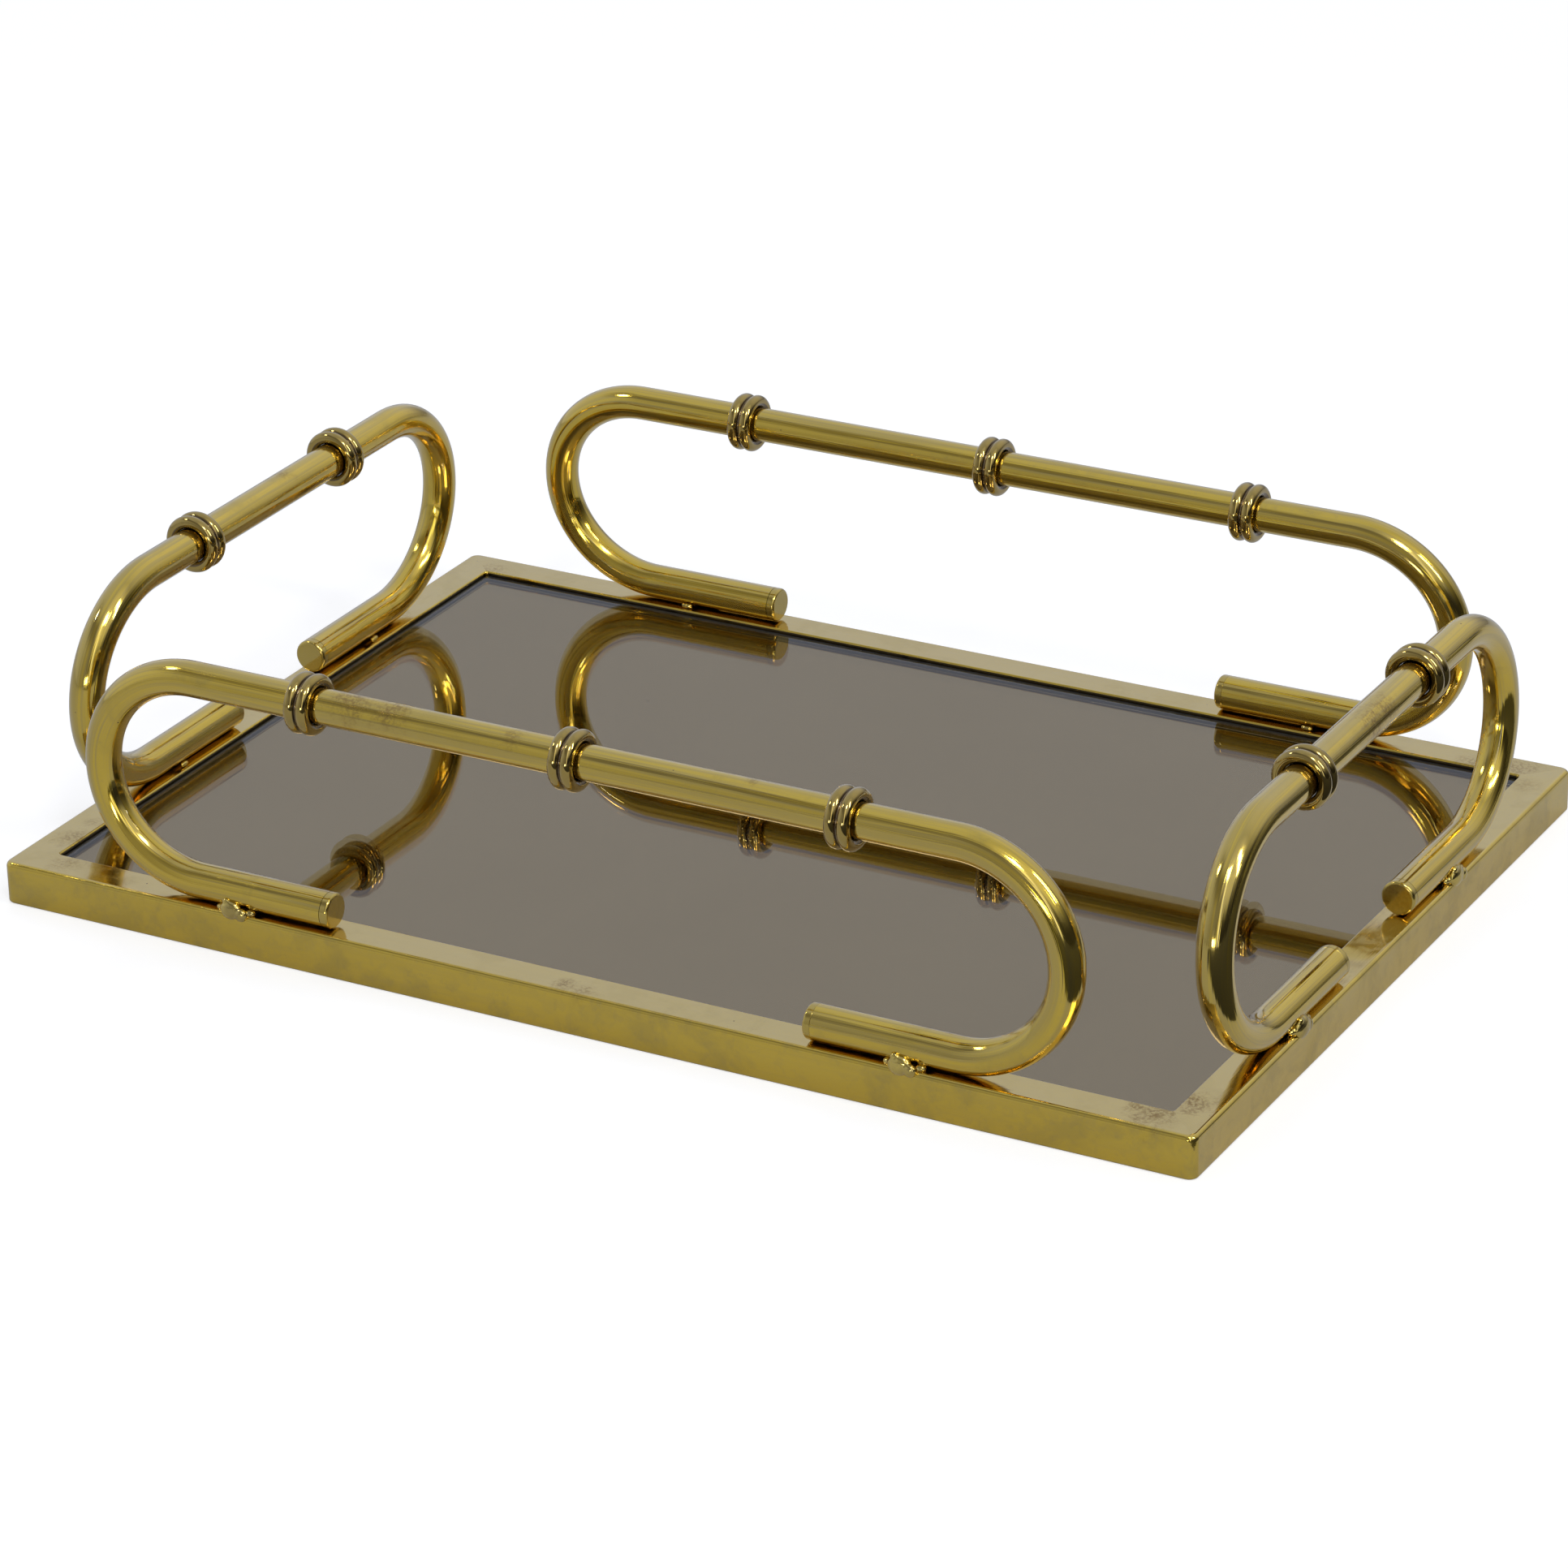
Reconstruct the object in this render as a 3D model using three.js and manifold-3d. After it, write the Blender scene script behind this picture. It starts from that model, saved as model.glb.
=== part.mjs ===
// Rectangular brass tray with a smoked mirror base. Four polished box-section rails are mitred
// into a frame. On each rail stands an open loop of round brass tube: two short feet lie along
// the rail, two round bends rise from them, and a straight bar joins the bends. Turned collars
// with two beads are pressed onto the bars, plugs close the ends of the feet, and a braze tack
// holds each foot.
//
// Millimetres, +Z up. X runs along the length and Y along the width. The origin is the middle
// of the underside.

import * as THREE from 'three';
import { mergeVertices } from 'three/addons/utils/BufferGeometryUtils.js';
import Module from 'manifold-3d';

// Frame
const TRAY_LENGTH = 440;
const TRAY_WIDTH = 302;
const RAIL_WIDTH = 13.6;
const RAIL_HEIGHT = 15;
const RAIL_WALL = 1.2;
const RAIL_TOP_EDGE_RADIUS = 1.8;
const RAIL_BOTTOM_EDGE_RADIUS = 0.9;
const CORNER_RADIUS = 3.2;
const CLEARANCE = 0.3;

// Loops
const TUBE_RADIUS = 6;
const TUBE_WALL = 1;
const BEND_RISE = 35.9;
const BEND_REACH = 37.2;
const LONG_BAR_LENGTH = 279.6;
const SHORT_BAR_LENGTH = 150.6;
const LONG_FOOT_LENGTH = 52;
const SHORT_FOOT_LENGTH = 50;

// Collars on the bars
const BEAD_RADIUS = 2.15;
const BEAD_SPACING = 4.5;
const COLLAR_RADIUS = 10.2;
const LONG_COLLAR_PITCH = 98.4;
const SHORT_COLLAR_PITCH = 88.2;

// End plugs and braze tacks
const PLUG_HEAD_LENGTH = 3;
const PLUG_EDGE_RADIUS = 1.4;
const PLUG_SPIGOT_LENGTH = 6;
const TACK_FROM_FOOT_END = 36;
const TACK_HALF_SIZE = new THREE.Vector3(4.6, 2.4, 3.2);

// Base
const MIRROR_RECESS = 1.5;
const GLASS_THICKNESS = 4;
const BOARD_THICKNESS = 3;
const BAIZE_THICKNESS = 1;
const LEDGE_FLANGE = 7;
const LEDGE_LEG = 4.4;
const LEDGE_THICKNESS = 1.2;
const PANE_CORNER_RADIUS = 2;

// Facets
const TUBE_SIDES = 16;
const BORE_SIDES = 8;
const BEND_STEPS = 10;
const COLLAR_SIDES = 18;
const BEAD_STEPS = 4;

// Each side in the order front, right, back, left. `turn` carries the side's own frame, where
// x runs along the rail, y points inwards and the outer face is y = 0, onto the tray. The
// loops were set by eye: each stands `shift` off the middle of its rail and leans in by
// `lean` degrees, and its row of collars is off the middle of the bar by `collarShift`.
const LONG = {
  rail: TRAY_LENGTH,
  across: TRAY_WIDTH,
  bar: LONG_BAR_LENGTH,
  foot: LONG_FOOT_LENGTH,
  collars: 3,
  pitch: LONG_COLLAR_PITCH,
};
const SHORT = {
  rail: TRAY_WIDTH,
  across: TRAY_LENGTH,
  bar: SHORT_BAR_LENGTH,
  foot: SHORT_FOOT_LENGTH,
  collars: 2,
  pitch: SHORT_COLLAR_PITCH,
};
const SIDES = [
  { name: 'front', turn: 0, ...LONG, shift: -3.7, lean: 1.4, collarShift: 3.5 },
  { name: 'right', turn: 90, ...SHORT, shift: -8, lean: 2, collarShift: -1 },
  { name: 'back', turn: 180, ...LONG, shift: -3, lean: 4.4, collarShift: -2.3 },
  { name: 'left', turn: 270, ...SHORT, shift: -2.8, lean: 3.6, collarShift: 2.2 },
];

const FOOT_AXIS_HEIGHT = RAIL_HEIGHT + CLEARANCE + TUBE_RADIUS;
const OPENING_LENGTH = TRAY_LENGTH - 2 * RAIL_WIDTH;
const OPENING_WIDTH = TRAY_WIDTH - 2 * RAIL_WIDTH;

const brass = { color: 0xb08d45, roughness: 0.16, metalness: 1 };
const finishes = {
  rail: { ...brass, color: 0xa98a4a },
  tube: brass,
  collar: { ...brass, color: 0xb9984f, roughness: 0.12 },
  plug: { ...brass, color: 0xa5823c },
  tack: { ...brass, color: 0xc9b88a, roughness: 0.3 },
  ledge: { ...brass, color: 0x8f7338, roughness: 0.4 },
  glass: { color: 0x4b463f, roughness: 0.03, metalness: 0.9 },
  board: { color: 0x6b4a2c, roughness: 0.85, metalness: 0 },
  baize: { color: 0x22332a, roughness: 1, metalness: 0 },
};

const wasm = await Module();
wasm.setup();

function toSolid(geometry) {
  const bare = geometry.clone();
  bare.deleteAttribute('normal');
  bare.deleteAttribute('uv');
  const merged = mergeVertices(bare, 1e-4);
  return new wasm.Manifold(new wasm.Mesh({
    numProp: 3,
    vertProperties: new Float32Array(merged.attributes.position.array),
    triVerts: new Uint32Array(merged.index.array),
  }));
}

function toGeometry(solid) {
  const mesh = solid.getMesh();
  const geometry = new THREE.BufferGeometry();
  geometry.setAttribute('position', new THREE.BufferAttribute(mesh.vertProperties, 3));
  geometry.setIndex(new THREE.BufferAttribute(mesh.triVerts, 1));
  geometry.computeVertexNormals();
  return geometry;
}

function makeMesh(name, geometry, finish) {
  const mesh = new THREE.Mesh(geometry, new THREE.MeshStandardMaterial(finish));
  mesh.name = name;
  return mesh;
}

// A rectangle from (x0, y0) to (x1, y1). The corners at y0 have radius r0, those at y1 have r1.
function roundedRectangle(x0, y0, x1, y1, r0, r1) {
  const shape = new THREE.Shape();
  shape.moveTo(x0 + r0, y0);
  shape.lineTo(x1 - r0, y0);
  shape.absarc(x1 - r0, y0 + r0, r0, -Math.PI / 2, 0);
  shape.lineTo(x1, y1 - r1);
  shape.absarc(x1 - r1, y1 - r1, r1, 0, Math.PI / 2);
  shape.lineTo(x0 + r1, y1);
  shape.absarc(x0 + r1, y1 - r1, r1, Math.PI / 2, Math.PI);
  shape.lineTo(x0, y0 + r0);
  shape.absarc(x0 + r0, y0 + r0, r0, Math.PI, 1.5 * Math.PI);
  return shape;
}

// Stands a flat outline up from `z` by `height`.
function slab(shape, z, height, curveSegments) {
  const geometry = new THREE.ExtrudeGeometry(shape, {
    depth: height,
    bevelEnabled: false,
    curveSegments,
  });
  return geometry.translate(0, 0, z);
}

// Runs a (y, z) section along a side and cuts both ends to 45 degrees, so that four of them
// meet at the corners of a frame whose outer edge is `length` long on this side.
function mitredBar(section, length, curveSegments) {
  const geometry = new THREE.ExtrudeGeometry(section, {
    depth: length,
    bevelEnabled: false,
    curveSegments,
  });
  const alongSide = new THREE.Matrix4().makeBasis(
    new THREE.Vector3(0, 1, 0),
    new THREE.Vector3(0, 0, 1),
    new THREE.Vector3(1, 0, 0),
  );
  geometry.applyMatrix4(alongSide);
  const position = geometry.attributes.position;
  const endClearance = CLEARANCE / Math.SQRT2;
  for (let i = 0; i < position.count; i += 1) {
    const end = position.getX(i) > length / 2 ? 1 : -1;
    position.setX(i, end * (length / 2 - position.getY(i) - endClearance));
  }
  return geometry;
}

// A hollow rail with its outer corners filed round.
function railGeometry(side) {
  const section = roundedRectangle(
    0, 0, RAIL_WIDTH, RAIL_HEIGHT, RAIL_BOTTOM_EDGE_RADIUS, RAIL_TOP_EDGE_RADIUS,
  );
  const far = RAIL_WIDTH - RAIL_WALL;
  const top = RAIL_HEIGHT - RAIL_WALL;
  section.holes.push(new THREE.Path([
    new THREE.Vector2(RAIL_WALL, RAIL_WALL),
    new THREE.Vector2(far, RAIL_WALL),
    new THREE.Vector2(far, top),
    new THREE.Vector2(RAIL_WALL, top),
  ]));
  const bar = toSolid(mitredBar(section, side.rail, 2));
  const halfLength = side.rail / 2;
  const outline = roundedRectangle(
    -halfLength, 0, halfLength, 2 * RAIL_WIDTH, CORNER_RADIUS, CORNER_RADIUS,
  );
  return toGeometry(bar.intersect(toSolid(slab(outline, -1, RAIL_HEIGHT + 2, 6))));
}

// An angle strip soldered to the inner wall of the rail. The board rests on its flange.
function ledgeSection() {
  const wall = RAIL_WIDTH + CLEARANCE;
  const top = RAIL_HEIGHT - MIRROR_RECESS - GLASS_THICKNESS - BOARD_THICKNESS - 2 * CLEARANCE;
  return new THREE.Shape([
    new THREE.Vector2(wall, top - LEDGE_LEG),
    new THREE.Vector2(wall + LEDGE_THICKNESS, top - LEDGE_LEG),
    new THREE.Vector2(wall + LEDGE_THICKNESS, top - LEDGE_THICKNESS),
    new THREE.Vector2(wall + LEDGE_FLANGE, top - LEDGE_THICKNESS),
    new THREE.Vector2(wall + LEDGE_FLANGE, top),
    new THREE.Vector2(wall, top),
  ]);
}

// The centreline of a loop in its own upright plane, from the end of one foot to the end of
// the other. Its sections fall only where the tube bends, and not along the straights.
class LoopCentreline extends THREE.Curve {
  constructor(halfBar, end) {
    super();
    this.stations = [];
    this.addStation(end, 0, 1, 0);
    this.addBend(halfBar, 1);
    this.addBend(-halfBar, -1);
    this.addStation(-end, 0, 1, 0);
    this.steps = this.stations.length - 1;
  }

  addStation(x, z, tangentX, tangentZ) {
    this.stations.push({
      point: new THREE.Vector3(x, 0, z),
      tangent: new THREE.Vector3(tangentX, 0, tangentZ).normalize(),
    });
  }

  // A half-round bend: up from the foot on the right, and down to the foot on the left.
  addBend(x, side) {
    for (let i = 0; i <= BEND_STEPS; i += 1) {
      const turned = (Math.PI * i) / BEND_STEPS;
      const angle = side * (turned - Math.PI / 2);
      this.addStation(
        x + side * BEND_REACH * Math.cos(angle),
        BEND_RISE * (1 + Math.sin(angle)),
        -BEND_REACH * Math.sin(angle),
        side * BEND_RISE * Math.cos(angle),
      );
    }
  }

  getPointAt(u, target = new THREE.Vector3()) {
    return target.copy(this.stations[Math.round(u * this.steps)].point);
  }

  getTangentAt(u, target = new THREE.Vector3()) {
    return target.copy(this.stations[Math.round(u * this.steps)].tangent);
  }
}

function regularPolygon(radius, sides) {
  const points = [];
  for (let i = 0; i < sides; i += 1) {
    const angle = (2 * Math.PI * (i + 0.5)) / sides;
    points.push(new THREE.Vector2(radius * Math.cos(angle), radius * Math.sin(angle)));
  }
  return points;
}

// The tube ends short of the foot's full length, because the plug's head makes up the rest.
function tubeEnd(side) {
  return side.bar / 2 - side.foot + PLUG_HEAD_LENGTH;
}

function loopGeometry(side) {
  const centreline = new LoopCentreline(side.bar / 2, tubeEnd(side));
  const section = new THREE.Shape(regularPolygon(TUBE_RADIUS, TUBE_SIDES));
  section.holes.push(new THREE.Path(regularPolygon(TUBE_RADIUS - TUBE_WALL, BORE_SIDES)));
  return new THREE.ExtrudeGeometry(section, {
    steps: centreline.steps,
    extrudePath: centreline,
  });
}

// A turned collar: a bore with two beads side by side, its axis along x.
function collarGeometry() {
  const bore = TUBE_RADIUS + CLEARANCE;
  const beadCentre = COLLAR_RADIUS - BEAD_RADIUS;
  const points = [new THREE.Vector2(bore, -BEAD_SPACING / 2 - BEAD_RADIUS * 0.6)];
  for (const y of [-BEAD_SPACING / 2, BEAD_SPACING / 2]) {
    for (let i = 0; i <= BEAD_STEPS; i += 1) {
      const angle = -Math.PI / 2 + (Math.PI * i) / BEAD_STEPS;
      points.push(new THREE.Vector2(
        beadCentre + BEAD_RADIUS * Math.cos(angle),
        y + BEAD_RADIUS * Math.sin(angle),
      ));
    }
  }
  points.push(new THREE.Vector2(bore, BEAD_SPACING / 2 + BEAD_RADIUS * 0.6));
  points.push(points[0].clone());
  return new THREE.LatheGeometry(points, COLLAR_SIDES).rotateZ(-Math.PI / 2);
}

// An end plug: a head as wide as the tube, with a rounded edge, on a spigot that enters the
// tube. Its axis is x, the joint with the tube is x = 0 and the head points to +x.
function plugGeometry() {
  const spigot = (TUBE_RADIUS - TUBE_WALL) * Math.cos(Math.PI / BORE_SIDES) - CLEARANCE;
  const points = [
    new THREE.Vector2(0, -PLUG_SPIGOT_LENGTH),
    new THREE.Vector2(spigot, -PLUG_SPIGOT_LENGTH),
    new THREE.Vector2(spigot, CLEARANCE),
    new THREE.Vector2(TUBE_RADIUS, CLEARANCE),
  ];
  const edgeSteps = 3;
  for (let i = 0; i <= edgeSteps; i += 1) {
    const angle = (Math.PI / 2) * (i / edgeSteps);
    points.push(new THREE.Vector2(
      TUBE_RADIUS - PLUG_EDGE_RADIUS * (1 - Math.cos(angle)),
      PLUG_HEAD_LENGTH - PLUG_EDGE_RADIUS * (1 - Math.sin(angle)),
    ));
  }
  points.push(new THREE.Vector2(0, PLUG_HEAD_LENGTH));
  return new THREE.LatheGeometry(points, TUBE_SIDES).rotateZ(-Math.PI / 2);
}

// A braze tack: a blob in the crevice on the outer side of a foot, cut clear of the tube,
// whose axis is y = 0, z = 0, and of the flat top of the rail.
function tackGeometry() {
  const blob = new THREE.SphereGeometry(1, 12, 8);
  blob.scale(TACK_HALF_SIZE.x, TACK_HALF_SIZE.y, TACK_HALF_SIZE.z);
  blob.translate(0, -TUBE_RADIUS * 0.72, -TUBE_RADIUS * 0.72);
  const reach = 4 * TACK_HALF_SIZE.x;
  const tube = new THREE.CylinderGeometry(
    TUBE_RADIUS + CLEARANCE, TUBE_RADIUS + CLEARANCE, reach, 24,
  );
  tube.rotateZ(Math.PI / 2);
  const rail = new THREE.BoxGeometry(reach, reach, reach);
  rail.translate(0, 0, -TUBE_RADIUS - reach / 2);
  return toGeometry(toSolid(blob).subtract(toSolid(tube)).subtract(toSolid(rail)));
}

// The loop of one side with its collars, plugs and tacks. The group's origin is the middle of
// the line of the feet, and it leans about that line.
function buildLoop(side) {
  const loop = new THREE.Group();
  loop.add(makeMesh(`${side.name}_loop`, loopGeometry(side), finishes.tube));
  for (let i = 0; i < side.collars; i += 1) {
    const collar = makeMesh(`${side.name}_collar_${i + 1}`, collarGeometry(), finishes.collar);
    collar.position.x = side.collarShift + side.pitch * (i - (side.collars - 1) / 2);
    collar.position.z = 2 * BEND_RISE;
    loop.add(collar);
  }
  for (const [number, end] of [[1, -1], [2, 1]]) {
    const plug = makeMesh(`${side.name}_end_plug_${number}`, plugGeometry(), finishes.plug);
    plug.position.x = end * tubeEnd(side);
    plug.rotation.z = end > 0 ? Math.PI : 0;
    loop.add(plug);
  }
  loop.rotation.x = -THREE.MathUtils.degToRad(side.lean);
  return loop;
}

function buildTacks(side) {
  const tacks = new THREE.Group();
  for (const [number, end] of [[1, -1], [2, 1]]) {
    const tack = makeMesh(`${side.name}_tack_${number}`, tackGeometry(), finishes.tack);
    tack.position.x = end * (side.bar / 2 - side.foot + TACK_FROM_FOOT_END);
    tacks.add(tack);
  }
  return tacks;
}

function buildSide(side) {
  const group = new THREE.Group();
  group.add(makeMesh(`${side.name}_rail`, railGeometry(side), finishes.rail));
  const ledge = mitredBar(ledgeSection(), side.rail, 1);
  group.add(makeMesh(`${side.name}_ledge`, ledge, finishes.ledge));
  for (const part of [buildLoop(side), buildTacks(side)]) {
    part.position.set(side.shift, RAIL_WIDTH / 2, FOOT_AXIS_HEIGHT);
    group.add(part);
  }
  const angle = THREE.MathUtils.degToRad(side.turn);
  group.rotation.z = angle;
  group.position.set(Math.sin(angle) * side.across / 2, -Math.cos(angle) * side.across / 2, 0);
  return group;
}

// A flat sheet inside the frame, `margin` away from the rails on every side.
function sheetGeometry(margin, top, thickness) {
  const x = OPENING_LENGTH / 2 - margin;
  const y = OPENING_WIDTH / 2 - margin;
  const r = PANE_CORNER_RADIUS;
  return slab(roundedRectangle(-x, -y, x, y, r, r), top - thickness, thickness, 3);
}

function buildBase() {
  const base = new THREE.Group();
  const glassTop = RAIL_HEIGHT - MIRROR_RECESS;
  const boardTop = glassTop - GLASS_THICKNESS - CLEARANCE;
  const baizeTop = boardTop - BOARD_THICKNESS - CLEARANCE;
  const glass = sheetGeometry(CLEARANCE, glassTop, GLASS_THICKNESS);
  const board = sheetGeometry(CLEARANCE, boardTop, BOARD_THICKNESS);
  const baize = sheetGeometry(LEDGE_FLANGE + 2 * CLEARANCE, baizeTop, BAIZE_THICKNESS);
  base.add(makeMesh('mirror_glass', glass, finishes.glass));
  base.add(makeMesh('backing_board', board, finishes.board));
  base.add(makeMesh('underside_baize', baize, finishes.baize));
  return base;
}

const tray = new THREE.Group();
for (const side of SIDES) {
  tray.add(buildSide(side));
}
tray.add(buildBase());

export default tray;
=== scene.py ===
import math

import bpy
from mathutils import Matrix, Vector, noise


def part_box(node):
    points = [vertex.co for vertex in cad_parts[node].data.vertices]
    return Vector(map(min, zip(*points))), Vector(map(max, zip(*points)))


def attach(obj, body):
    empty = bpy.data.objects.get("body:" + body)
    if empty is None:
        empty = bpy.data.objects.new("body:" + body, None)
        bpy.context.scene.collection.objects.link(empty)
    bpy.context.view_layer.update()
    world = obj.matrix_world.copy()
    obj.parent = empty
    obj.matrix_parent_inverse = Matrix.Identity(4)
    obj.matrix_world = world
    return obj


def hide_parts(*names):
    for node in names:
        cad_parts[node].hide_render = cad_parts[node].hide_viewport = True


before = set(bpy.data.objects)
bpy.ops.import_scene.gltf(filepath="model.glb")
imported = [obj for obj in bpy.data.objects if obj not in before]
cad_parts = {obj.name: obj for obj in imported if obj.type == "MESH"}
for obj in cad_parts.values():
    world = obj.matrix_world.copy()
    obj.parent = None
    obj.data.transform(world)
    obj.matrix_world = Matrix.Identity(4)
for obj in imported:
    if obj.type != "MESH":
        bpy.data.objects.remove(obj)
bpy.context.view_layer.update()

# ------------------------------------------------------------------------------------ camera
# A long lens looks over the front right part of the tray from a little above. The camera
# leans over by about a degree, as one held in the hand does.
CAMERA_AZIMUTH = math.radians(29.3)
CAMERA_ELEVATION = math.radians(24.57)
CAMERA_ROLL = math.radians(-1.25)
CAMERA_DISTANCE = 2.03
CAMERA_SIDESTEP = -0.0037
CAMERA_RISE = 0.0239
LENS = 137.35

level = math.cos(CAMERA_ELEVATION)
backwards = Vector((
    math.sin(CAMERA_AZIMUTH) * level,
    -math.cos(CAMERA_AZIMUTH) * level,
    math.sin(CAMERA_ELEVATION),
))
rightwards = Vector((math.cos(CAMERA_AZIMUTH), math.sin(CAMERA_AZIMUTH), 0))
upwards = backwards.cross(rightwards)
place = backwards * CAMERA_DISTANCE + rightwards * CAMERA_SIDESTEP + upwards * CAMERA_RISE
image_x = rightwards * math.cos(CAMERA_ROLL) + upwards * math.sin(CAMERA_ROLL)
image_y = upwards * math.cos(CAMERA_ROLL) - rightwards * math.sin(CAMERA_ROLL)
camera_data = bpy.data.cameras.new("camera")
camera_data.lens = LENS
camera_data.sensor_width = 36
camera_data.clip_end = 50
camera = bpy.data.objects.new("camera", camera_data)
bpy.context.scene.collection.objects.link(camera)
axes = Matrix((image_x, image_y, backwards)).transposed().to_4x4()
camera.matrix_world = Matrix.Translation(place) @ axes
bpy.context.scene.camera = camera

# ------------------------------------------------------------------------------------- rails
# The frame of the tray: four lengths of square-cornered brass tube, mitred, brazed at the
# corners and polished until the joints disappear. Clear lacquer covers the brass. It has
# stained brown at the inner corners and has gone dull in patches.
CORNER_RADIUS = 0.0032
OPENING_CORNER_RADIUS = 0.0012
RAIL_OUTER_EDGE = 0.0019
RAIL_INNER_EDGE = 0.0008
RAIL_UNDER_EDGE = 0.0009
CLEAN_BRASS = (0.80, 0.555, 0.045, 1)
TARNISHED_BRASS = (0.62, 0.45, 0.08, 1)
BROWN_STAIN = (0.36, 0.225, 0.07, 1)
# Painted light: the paler brass mixed onto the faces that look up, as if lit from above.
TOP_LIGHT_BRASS = (0.74, 0.56, 0.20, 1)
DARK_PIT = (0.035, 0.025, 0.012, 1)


def edit(piece):
    """Opens one piece for modelling, with nothing else selected."""
    bpy.ops.object.select_all(action="DESELECT")
    piece.select_set(True)
    bpy.context.view_layer.objects.active = piece
    bpy.ops.object.mode_set(mode="EDIT")


def done():
    bpy.ops.object.mode_set(mode="OBJECT")


def select_parts(piece, kind, wanted):
    """Selects the vertices, edges or polygons whose middle point and normal suit `wanted`."""
    bpy.ops.mesh.select_all(action="DESELECT")
    bpy.ops.mesh.select_mode(type={"vertices": "VERT", "edges": "EDGE", "polygons": "FACE"}[kind])
    done()
    mesh = piece.data
    for part in getattr(mesh, kind):
        if kind == "vertices":
            part.select = wanted(part.co)
        elif kind == "edges":
            a, b = (mesh.vertices[i].co for i in part.vertices)
            part.select = wanted(a, b)
        else:
            part.select = wanted(part.center, part.normal)
    bpy.ops.object.mode_set(mode="EDIT")


def finish_surface(piece, smooth_angle):
    """Smooth shading that keeps the flats flat: big faces decide the normals beside them."""
    bpy.ops.object.select_all(action="DESELECT")
    piece.select_set(True)
    bpy.context.view_layer.objects.active = piece
    bpy.ops.object.shade_smooth_by_angle(angle=smooth_angle)
    flats = piece.modifiers.new("flats", "WEIGHTED_NORMAL")
    flats.keep_sharp = True
    bpy.ops.object.modifier_apply(modifier=flats.name)


def copy_of(piece, name):
    twin = piece.copy()
    twin.data = piece.data.copy()
    twin.name = name
    twin.data.name = name
    bpy.context.scene.collection.objects.link(twin)
    return twin


def shader_group(name, inputs, outputs):
    """Starts a node group. Inputs are (name, default) pairs and outputs are (name, kind)."""
    group = bpy.data.node_groups.new(name, "ShaderNodeTree")
    for label, default in inputs:
        if isinstance(default, (int, float)):
            kind = "NodeSocketFloat"
        else:
            kind = "NodeSocketColor" if len(default) == 4 else "NodeSocketVector"
        socket = group.interface.new_socket(name=label, in_out="INPUT", socket_type=kind)
        socket.default_value = default
    for label, kind in outputs:
        group.interface.new_socket(name=label, in_out="OUTPUT", socket_type="NodeSocket" + kind)
    return group, group.nodes.new("NodeGroupInput"), group.nodes.new("NodeGroupOutput")


def node(tree, kind, values=None, **settings):
    """Adds a shader node. A value that is a socket is linked and any other is set."""
    made = tree.nodes.new("ShaderNode" + kind)
    for key, value in settings.items():
        setattr(made, key, value)
    for socket, value in (values or {}).items():
        if isinstance(value, bpy.types.NodeSocket):
            tree.links.new(value, made.inputs[socket])
        else:
            made.inputs[socket].default_value = value
    return made


def maths(tree, operation, *values):
    return node(tree, "Math", dict(enumerate(values)), operation=operation).outputs[0]


def ramp(tree, value, low, high):
    """0 below `low`, 1 above `high`, smooth between."""
    limits = {"Value": value, "From Min": low, "From Max": high}
    return node(tree, "MapRange", limits, interpolation_type="SMOOTHSTEP").outputs["Result"]


def mixed(tree, share, first, second):
    return node(tree, "MixRGB", {"Fac": share, "Color1": first, "Color2": second}).outputs["Color"]


def make_patches():
    """Cloudy patches where the lacquer has let the brass go dull."""
    group, given, out = shader_group(
        "patches",
        [("Vector", (0, 0, 0)), ("Size", 0.03), ("Cover", 0.3), ("Softness", 0.1)],
        [("Mask", "Float")],
    )
    scale = maths(group, "DIVIDE", 1.0, given.outputs["Size"])
    cloud = node(group, "TexNoise", {
        "Vector": given.outputs["Vector"], "Scale": scale, "Detail": 5, "Roughness": 0.62,
        "Distortion": 0.4,
    }).outputs["Fac"]
    edge = maths(group, "SUBTRACT", 0.8, maths(group, "MULTIPLY", given.outputs["Cover"], 0.6))
    low = maths(group, "SUBTRACT", edge, given.outputs["Softness"])
    high = maths(group, "ADD", edge, given.outputs["Softness"])
    group.links.new(ramp(group, cloud, low, high), out.inputs["Mask"])
    return group


def make_stain():
    """One ragged brown stain round a centre, as flux or polish leaves beside a joint."""
    group, given, out = shader_group(
        "stain",
        [("Vector", (0, 0, 0)), ("Centre", (0, 0, 0)), ("Radius", 0.01), ("Strength", 1.0)],
        [("Mask", "Float")],
    )
    fine = node(group, "TexNoise", {
        "Vector": given.outputs["Vector"], "Scale": 300, "Detail": 6, "Roughness": 0.7,
    }).outputs["Fac"]
    speckle = node(group, "TexNoise", {
        "Vector": given.outputs["Vector"], "Scale": 950, "Detail": 3, "Roughness": 0.6,
    }).outputs["Fac"]
    apart = node(group, "VectorMath", {
        0: given.outputs["Vector"], 1: given.outputs["Centre"],
    }, operation="DISTANCE").outputs["Value"]
    share = maths(group, "DIVIDE", apart, given.outputs["Radius"])
    ragged = maths(group, "ADD", share, maths(group, "MULTIPLY", fine, 1.8))
    spot = maths(group, "SUBTRACT", 1.0, ramp(group, ragged, 0.85, 1.85))
    grain = maths(group, "MULTIPLY_ADD", ramp(group, speckle, 0.38, 0.58), 0.75, 0.25)
    spot = maths(group, "MULTIPLY", spot, grain)
    mask = maths(group, "MULTIPLY", spot, given.outputs["Strength"])
    group.links.new(mask, out.inputs["Mask"])
    return group


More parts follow.
